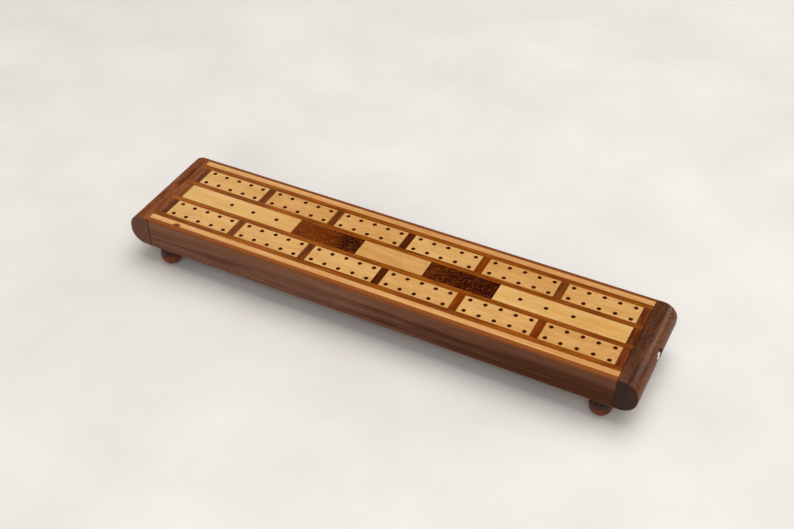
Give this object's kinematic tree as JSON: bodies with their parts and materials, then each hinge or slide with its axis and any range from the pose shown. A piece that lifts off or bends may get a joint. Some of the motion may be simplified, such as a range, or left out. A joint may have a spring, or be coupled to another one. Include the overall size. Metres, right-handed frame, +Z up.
{
  "type": "cribbage box",
  "caption": "Long, low wooden cribbage box on ball feet: inlaid top drilled for pegs, rounded ends, and a peg drawer that slides out of one end.",
  "frame": {"origin": "centre of the box's outline, on the surface that its feet stand on", "axes": "+X along the box towards the drawer front, +Y to the back rail, +Z up"},
  "size_m": [0.255, 0.055, 0.027],
  "materials": {
    "tile_maple": "satin varnish",
    "centre_light_wood": "satin varnish",
    "centre_dark_wood": "satin varnish, mottled",
    "edge_light_wood": "satin varnish",
    "brown_strip_wood": "satin varnish",
    "cross_wood": "satin varnish",
    "rail_walnut": "satin varnish",
    "end_walnut": "glossy varnish",
    "foot_wood": "glossy varnish",
    "inner_wood": "bare, sanded",
    "peg_light_wood": "bare, sanded",
    "peg_dark_wood": "oiled",
    "pull_metal": "polished"
  },
  "bodies": {
    "case": {"back_rail": "rail_walnut", "bottom_board": "inner_wood", "brown_strip_back_inner": "brown_strip_wood", "brown_strip_back_outer": "brown_strip_wood", "brown_strip_front_inner": "brown_strip_wood", "brown_strip_front_outer": "brown_strip_wood", "centre_dark_left": "centre_dark_wood", "centre_dark_right": "centre_dark_wood", "centre_light_left": "centre_light_wood", "centre_light_middle": "centre_light_wood", "centre_light_right": "centre_light_wood", "core_board": "inner_wood", "cross_back_1": "cross_wood", "cross_back_2": "cross_wood", "cross_back_3": "cross_wood", "cross_back_4": "cross_wood", "cross_back_5": "cross_wood", "cross_front_1": "cross_wood", "cross_front_2": "cross_wood", "cross_front_3": "cross_wood", "cross_front_4": "cross_wood", "cross_front_5": "cross_wood", "edge_strip_back": "edge_light_wood", "edge_strip_front": "edge_light_wood", "foot_left_back": "foot_wood", "foot_left_front": "foot_wood", "foot_right_back": "foot_wood", "foot_right_front": "foot_wood", "front_rail": "rail_walnut", "left_end_block": "end_walnut", "left_end_dark_back": "cross_wood", "left_end_dark_centre": "cross_wood", "left_end_dark_front": "cross_wood", "left_end_light_back": "brown_strip_wood", "left_end_light_centre": "brown_strip_wood", "left_end_light_front": "brown_strip_wood", "right_end_back": "cross_wood", "right_end_centre": "cross_wood", "right_end_front": "cross_wood", "tile_back_1": "tile_maple", "tile_back_2": "tile_maple", "tile_back_3": "tile_maple", "tile_back_4": "tile_maple", "tile_back_5": "tile_maple", "tile_back_6": "tile_maple", "tile_front_1": "tile_maple", "tile_front_2": "tile_maple", "tile_front_3": "tile_maple", "tile_front_4": "tile_maple", "tile_front_5": "tile_maple", "tile_front_6": "tile_maple"},
    "drawer": {"drawer_front": "end_walnut", "drawer_side_front": "inner_wood", "drawer_side_back": "inner_wood", "drawer_back": "inner_wood", "drawer_bottom": "inner_wood", "drawer_pull": "pull_metal", "pegs_light": "peg_light_wood", "pegs_dark": "peg_dark_wood"}
  },
  "joints": [
    {"name": "drawer_slide", "type": "slide", "parent": "case", "child": "drawer", "axis": [1, 0, 0], "range_m": [0, 0.17]}
  ]
}
